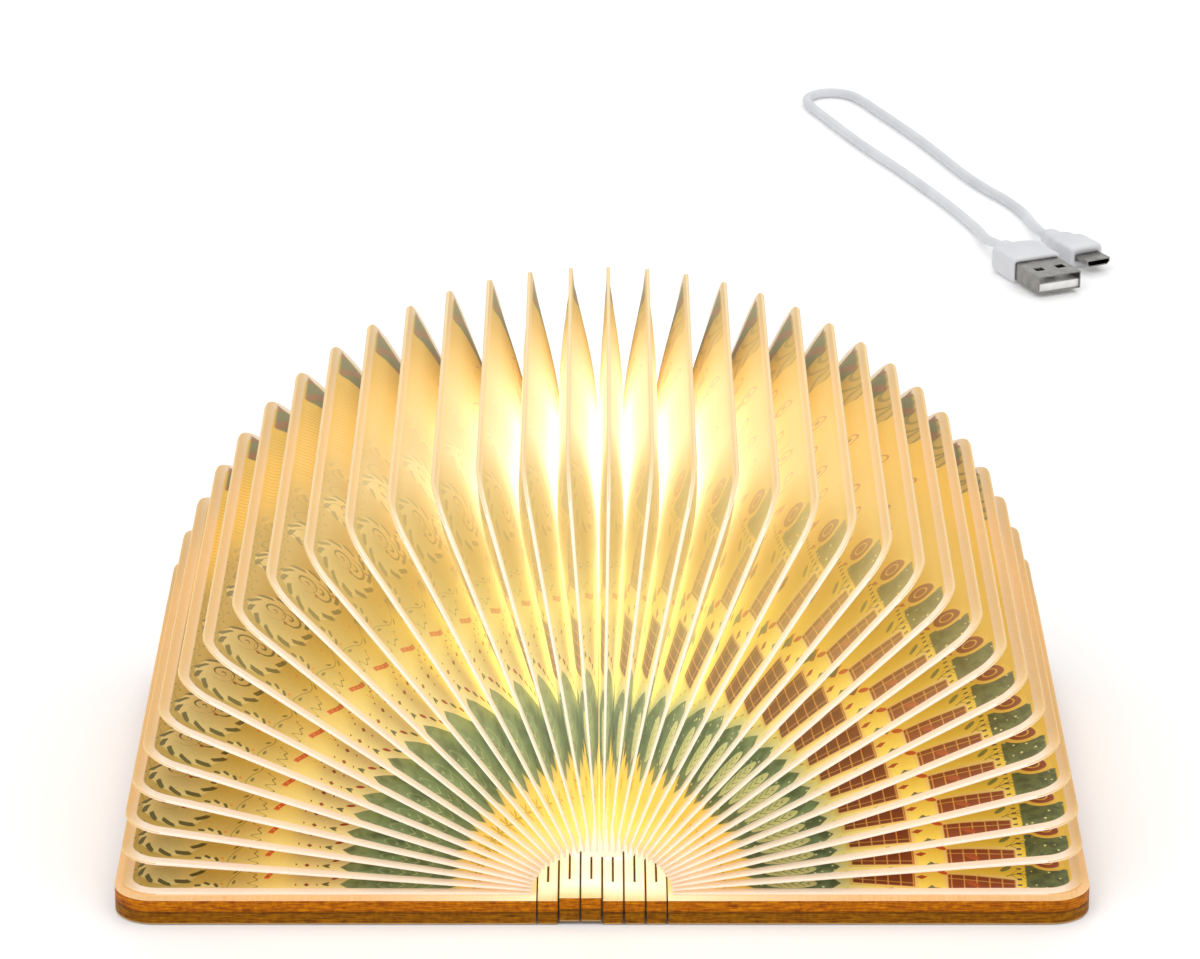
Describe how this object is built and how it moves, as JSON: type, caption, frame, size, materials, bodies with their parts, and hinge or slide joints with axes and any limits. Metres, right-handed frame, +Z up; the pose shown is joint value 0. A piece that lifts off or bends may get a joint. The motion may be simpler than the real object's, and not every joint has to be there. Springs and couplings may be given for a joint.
{
  "type": "folding book lamp",
  "caption": "Lamp shaped like a book: two layered wood covers on a slatted spine open a fan of translucent envelope leaves over a hidden light strip.",
  "frame": {"origin": "on the table, under the middle of the spine, with the lamp lying open", "axes": "+X from the left cover to the right one, +Y along the spine from foot to head, +Z up"},
  "size_m": [0.2216, 0.5268, 0.0916],
  "materials": {
    "outer_ply": "brown layered wood, laser cut, satin",
    "inner_ply": "orange-brown layered wood, laser cut, satin",
    "leaf_sheet": "translucent spun-bonded sheet, printed, matt",
    "magnet": "nickel plated",
    "tray": "white moulded",
    "diffuser": "opal, lit",
    "circuit_board": "white solder mask",
    "chips": "phosphor yellow",
    "cell_foil": "foil pouch",
    "socket_metal": "plated, folded",
    "lead_white": "white soft moulding",
    "plug_metal": "nickel plated",
    "tongue": "white moulded"
  },
  "bodies": {
    "spine": {"spine_slat_3": "inner_ply", "spine_slat_4": "inner_ply", "lamp_tray": "tray", "lamp_diffuser": "diffuser", "led_board": "circuit_board", "board_chips": "chips", "battery_cell": "cell_foil", "charging_socket": "socket_metal", "usb_lead": "lead_white", "usb_a_grip": "lead_white", "usb_a_shell": "plug_metal", "usb_a_tongue": "tongue", "micro_usb_grip": "lead_white", "micro_usb_shell": "plug_metal"},
    "slat_2": {"spine_slat_2": "inner_ply"},
    "slat_1": {"spine_slat_1": "inner_ply"},
    "left_cover": {"left_outer_board": "outer_ply", "left_inner_board": "inner_ply", "left_magnets": "magnet", "leaf_01": "leaf_sheet"},
    "slat_5": {"spine_slat_5": "inner_ply"},
    "slat_6": {"spine_slat_6": "inner_ply"},
    "right_cover": {"right_outer_board": "outer_ply", "right_inner_board": "inner_ply", "right_magnets": "magnet", "leaf_36": "leaf_sheet"},
    "leaf_02": {"leaf_02": "leaf_sheet"},
    "leaf_03": {"leaf_03": "leaf_sheet"},
    "leaf_04": {"leaf_04": "leaf_sheet"},
    "leaf_05": {"leaf_05": "leaf_sheet"},
    "leaf_06": {"leaf_06": "leaf_sheet"},
    "leaf_07": {"leaf_07": "leaf_sheet"},
    "leaf_08": {"leaf_08": "leaf_sheet"},
    "leaf_09": {"leaf_09": "leaf_sheet"},
    "leaf_10": {"leaf_10": "leaf_sheet"},
    "leaf_11": {"leaf_11": "leaf_sheet"},
    "leaf_12": {"leaf_12": "leaf_sheet"},
    "leaf_13": {"leaf_13": "leaf_sheet"},
    "leaf_14": {"leaf_14": "leaf_sheet"},
    "leaf_15": {"leaf_15": "leaf_sheet"},
    "leaf_16": {"leaf_16": "leaf_sheet"},
    "leaf_17": {"leaf_17": "leaf_sheet"},
    "leaf_18": {"leaf_18": "leaf_sheet"},
    "leaf_19": {"leaf_19": "leaf_sheet"},
    "leaf_20": {"leaf_20": "leaf_sheet"},
    "leaf_21": {"leaf_21": "leaf_sheet"},
    "leaf_22": {"leaf_22": "leaf_sheet"},
    "leaf_23": {"leaf_23": "leaf_sheet"},
    "leaf_24": {"leaf_24": "leaf_sheet"},
    "leaf_25": {"leaf_25": "leaf_sheet"},
    "leaf_26": {"leaf_26": "leaf_sheet"},
    "leaf_27": {"leaf_27": "leaf_sheet"},
    "leaf_28": {"leaf_28": "leaf_sheet"},
    "leaf_29": {"leaf_29": "leaf_sheet"},
    "leaf_30": {"leaf_30": "leaf_sheet"},
    "leaf_31": {"leaf_31": "leaf_sheet"},
    "leaf_32": {"leaf_32": "leaf_sheet"},
    "leaf_33": {"leaf_33": "leaf_sheet"},
    "leaf_34": {"leaf_34": "leaf_sheet"},
    "leaf_35": {"leaf_35": "leaf_sheet"}
  },
  "joints": [
    {"name": "left_cover_fold", "type": "hinge", "parent": "spine", "child": "left_cover", "pos_m": [-0.00831, 0, 0.00671], "axis": [0, 1, 0], "range_deg": [0, 90]},
    {"name": "slat_1_fold", "type": "hinge", "parent": "spine", "child": "slat_1", "pos_m": [-0.00615, 0, 0.00595], "axis": [0, 1, 0], "range_deg": [0, 60]},
    {"name": "slat_2_fold", "type": "hinge", "parent": "spine", "child": "slat_2", "pos_m": [-0.0041, 0, 0.0054], "axis": [0, 1, 0], "range_deg": [0, 30]},
    {"name": "right_cover_fold", "type": "hinge", "parent": "spine", "child": "right_cover", "pos_m": [0.0082, 0, 0.0063], "axis": [0, -1, 0], "range_deg": [0, 90]},
    {"name": "slat_6_fold", "type": "hinge", "parent": "spine", "child": "slat_6", "pos_m": [0.00615, 0, 0.00535], "axis": [0, -1, 0], "range_deg": [0, 60]},
    {"name": "slat_5_fold", "type": "hinge", "parent": "spine", "child": "slat_5", "pos_m": [0.0041, 0, 0.0048], "axis": [0, -1, 0], "range_deg": [0, 30]},
    {"name": "leaf_02_turn", "type": "hinge", "parent": "spine", "child": "leaf_02", "pos_m": [-0.0079, 0, 0.00685], "axis": [0, 1, 0], "range_deg": [0, 85.44]},
    {"name": "leaf_03_turn", "type": "hinge", "parent": "spine", "child": "leaf_03", "pos_m": [-0.00768, 0, 0.00677], "axis": [0, 1, 0], "range_deg": [0, 80.79]},
    {"name": "leaf_04_turn", "type": "hinge", "parent": "spine", "child": "leaf_04", "pos_m": [-0.00745, 0, 0.0067], "axis": [0, 1, 0], "range_deg": [0, 75.98]},
    {"name": "leaf_05_turn", "type": "hinge", "parent": "spine", "child": "leaf_05", "pos_m": [-0.00722, 0, 0.00663], "axis": [0, 1, 0], "range_deg": [0, 70.97]},
    {"name": "leaf_06_turn", "type": "hinge", "parent": "spine", "child": "leaf_06", "pos_m": [-0.007, 0, 0.00657], "axis": [0, 1, 0], "range_deg": [0, 65.73]},
    {"name": "leaf_07_turn", "type": "hinge", "parent": "spine", "child": "leaf_07", "pos_m": [-0.00677, 0, 0.00653], "axis": [0, 1, 0], "range_deg": [0, 60.26]},
    {"name": "leaf_08_turn", "type": "hinge", "parent": "spine", "child": "leaf_08", "pos_m": [-0.00656, 0, 0.00652], "axis": [0, 1, 0], "range_deg": [0, 54.6]},
    {"name": "leaf_09_turn", "type": "hinge", "parent": "spine", "child": "leaf_09", "pos_m": [-0.00637, 0, 0.00654], "axis": [0, 1, 0], "range_deg": [0, 48.8]},
    {"name": "leaf_10_turn", "type": "hinge", "parent": "spine", "child": "leaf_10", "pos_m": [-0.00623, 0, 0.00661], "axis": [0, 1, 0], "range_deg": [0, 42.93]},
    {"name": "leaf_11_turn", "type": "hinge", "parent": "spine", "child": "leaf_11", "pos_m": [-0.00616, 0, 0.00673], "axis": [0, 1, 0], "range_deg": [0, 37.07]},
    {"name": "leaf_12_turn", "type": "hinge", "parent": "spine", "child": "leaf_12", "pos_m": [-0.0062, 0, 0.00691], "axis": [0, 1, 0], "range_deg": [0, 31.27]},
    {"name": "leaf_13_turn", "type": "hinge", "parent": "spine", "child": "leaf_13", "pos_m": [-0.00645, 0, 0.0072], "axis": [0, 1, 0], "range_deg": [0, 25.57]},
    {"name": "leaf_14_turn", "type": "hinge", "parent": "spine", "child": "leaf_14", "pos_m": [-0.00707, 0, 0.00762], "axis": [0, 1, 0], "range_deg": [0, 20.02]},
    {"name": "leaf_15_turn", "type": "hinge", "parent": "spine", "child": "leaf_15", "pos_m": [-0.00845, 0, 0.00835], "axis": [0, 1, 0], "range_deg": [0, 14.59]},
    {"name": "leaf_16_turn", "type": "hinge", "parent": "spine", "child": "leaf_16", "pos_m": [-0.01189, 0, 0.00987], "axis": [0, 1, 0], "range_deg": [0, 9.27]},
    {"name": "leaf_17_turn", "type": "hinge", "parent": "spine", "child": "leaf_17", "pos_m": [-0.02555, 0, 0.01533], "axis": [0, 1, 0], "range_deg": [0, 4]},
    {"name": "leaf_18_turn", "type": "hinge", "parent": "spine", "child": "leaf_18", "pos_m": [0.12402, 0, -0.03884], "axis": [0, -1, 0], "range_deg": [0, 0.802]},
    {"name": "leaf_19_turn", "type": "hinge", "parent": "spine", "child": "leaf_19", "pos_m": [0.01729, 0, -0.00014], "axis": [0, -1, 0], "range_deg": [0, 5.83]},
    {"name": "leaf_20_turn", "type": "hinge", "parent": "spine", "child": "leaf_20", "pos_m": [0.00985, 0, 0.00273], "axis": [0, -1, 0], "range_deg": [0, 10.85]},
    {"name": "leaf_21_turn", "type": "hinge", "parent": "spine", "child": "leaf_21", "pos_m": [0.00741, 0, 0.00381], "axis": [0, -1, 0], "range_deg": [0, 15.87]},
    {"name": "leaf_22_turn", "type": "hinge", "parent": "spine", "child": "leaf_22", "pos_m": [0.00635, 0, 0.00439], "axis": [0, -1, 0], "range_deg": [0, 20.88]},
    {"name": "leaf_23_turn", "type": "hinge", "parent": "spine", "child": "leaf_23", "pos_m": [0.00588, 0, 0.00477], "axis": [0, -1, 0], "range_deg": [0, 25.89]},
    {"name": "leaf_24_turn", "type": "hinge", "parent": "spine", "child": "leaf_24", "pos_m": [0.00569, 0, 0.00505], "axis": [0, -1, 0], "range_deg": [0, 30.88]},
    {"name": "leaf_25_turn", "type": "hinge", "parent": "spine", "child": "leaf_25", "pos_m": [0.00568, 0, 0.00527], "axis": [0, -1, 0], "range_deg": [0, 35.87]},
    {"name": "leaf_26_turn", "type": "hinge", "parent": "spine", "child": "leaf_26", "pos_m": [0.00576, 0, 0.00546], "axis": [0, -1, 0], "range_deg": [0, 40.84]},
    {"name": "leaf_27_turn", "type": "hinge", "parent": "spine", "child": "leaf_27", "pos_m": [0.0059, 0, 0.00563], "axis": [0, -1, 0], "range_deg": [0, 45.8]},
    {"name": "leaf_28_turn", "type": "hinge", "parent": "spine", "child": "leaf_28", "pos_m": [0.00608, 0, 0.00579], "axis": [0, -1, 0], "range_deg": [0, 50.75]},
    {"name": "leaf_29_turn", "type": "hinge", "parent": "spine", "child": "leaf_29", "pos_m": [0.00629, 0, 0.00593], "axis": [0, -1, 0], "range_deg": [0, 55.69]},
    {"name": "leaf_30_turn", "type": "hinge", "parent": "spine", "child": "leaf_30", "pos_m": [0.00651, 0, 0.00606], "axis": [0, -1, 0], "range_deg": [0, 60.62]},
    {"name": "leaf_31_turn", "type": "hinge", "parent": "spine", "child": "leaf_31", "pos_m": [0.00674, 0, 0.00618], "axis": [0, -1, 0], "range_deg": [0, 65.53]},
    {"name": "leaf_32_turn", "type": "hinge", "parent": "spine", "child": "leaf_32", "pos_m": [0.00697, 0, 0.00629], "axis": [0, -1, 0], "range_deg": [0, 70.44]},
    {"name": "leaf_33_turn", "type": "hinge", "parent": "spine", "child": "leaf_33", "pos_m": [0.0072, 0, 0.0064], "axis": [0, -1, 0], "range_deg": [0, 75.34]},
    {"name": "leaf_34_turn", "type": "hinge", "parent": "spine", "child": "leaf_34", "pos_m": [0.00742, 0, 0.00649], "axis": [0, -1, 0], "range_deg": [0, 80.23]},
    {"name": "leaf_35_turn", "type": "hinge", "parent": "spine", "child": "leaf_35", "pos_m": [0.00764, 0, 0.00658], "axis": [0, -1, 0], "range_deg": [0, 85.12]}
  ],
  "couplings": [
    {"joint": "slat_1_fold", "follows": "left_cover_fold", "ratio": 0.66667},
    {"joint": "slat_2_fold", "follows": "left_cover_fold", "ratio": 0.33333},
    {"joint": "slat_6_fold", "follows": "right_cover_fold", "ratio": 0.66667},
    {"joint": "slat_5_fold", "follows": "right_cover_fold", "ratio": 0.33333},
    {"joint": "leaf_02_turn", "follows": "left_cover_fold", "ratio": 0.94928},
    {"joint": "leaf_03_turn", "follows": "left_cover_fold", "ratio": 0.89764},
    {"joint": "leaf_04_turn", "follows": "left_cover_fold", "ratio": 0.84426},
    {"joint": "leaf_05_turn", "follows": "left_cover_fold", "ratio": 0.78859},
    {"joint": "leaf_06_turn", "follows": "left_cover_fold", "ratio": 0.73034},
    {"joint": "leaf_07_turn", "follows": "left_cover_fold", "ratio": 0.66957},
    {"joint": "leaf_08_turn", "follows": "left_cover_fold", "ratio": 0.60666},
    {"joint": "leaf_09_turn", "follows": "left_cover_fold", "ratio": 0.54222},
    {"joint": "leaf_10_turn", "follows": "left_cover_fold", "ratio": 0.47701},
    {"joint": "leaf_11_turn", "follows": "left_cover_fold", "ratio": 0.41183},
    {"joint": "leaf_12_turn", "follows": "left_cover_fold", "ratio": 0.34737},
    {"joint": "leaf_13_turn", "follows": "left_cover_fold", "ratio": 0.28414},
    {"joint": "leaf_14_turn", "follows": "left_cover_fold", "ratio": 0.2224},
    {"joint": "leaf_15_turn", "follows": "left_cover_fold", "ratio": 0.16211},
    {"joint": "leaf_16_turn", "follows": "left_cover_fold", "ratio": 0.10297},
    {"joint": "leaf_17_turn", "follows": "left_cover_fold", "ratio": 0.04444},
    {"joint": "leaf_18_turn", "follows": "right_cover_fold", "ratio": 0.00889},
    {"joint": "leaf_19_turn", "follows": "right_cover_fold", "ratio": 0.06472},
    {"joint": "leaf_20_turn", "follows": "right_cover_fold", "ratio": 0.12053},
    {"joint": "leaf_21_turn", "follows": "right_cover_fold", "ratio": 0.1763},
    {"joint": "leaf_22_turn", "follows": "right_cover_fold", "ratio": 0.23199},
    {"joint": "leaf_23_turn", "follows": "right_cover_fold", "ratio": 0.2876},
    {"joint": "leaf_24_turn", "follows": "right_cover_fold", "ratio": 0.34311},
    {"joint": "leaf_25_turn", "follows": "right_cover_fold", "ratio": 0.3985},
    {"joint": "leaf_26_turn", "follows": "right_cover_fold", "ratio": 0.45376},
    {"joint": "leaf_27_turn", "follows": "right_cover_fold", "ratio": 0.50889},
    {"joint": "leaf_28_turn", "follows": "right_cover_fold", "ratio": 0.56388},
    {"joint": "leaf_29_turn", "follows": "right_cover_fold", "ratio": 0.61874},
    {"joint": "leaf_30_turn", "follows": "right_cover_fold", "ratio": 0.67348},
    {"joint": "leaf_31_turn", "follows": "right_cover_fold", "ratio": 0.7281},
    {"joint": "leaf_32_turn", "follows": "right_cover_fold", "ratio": 0.78261},
    {"joint": "leaf_33_turn", "follows": "right_cover_fold", "ratio": 0.83704},
    {"joint": "leaf_34_turn", "follows": "right_cover_fold", "ratio": 0.8914},
    {"joint": "leaf_35_turn", "follows": "right_cover_fold", "ratio": 0.94571}
  ]
}
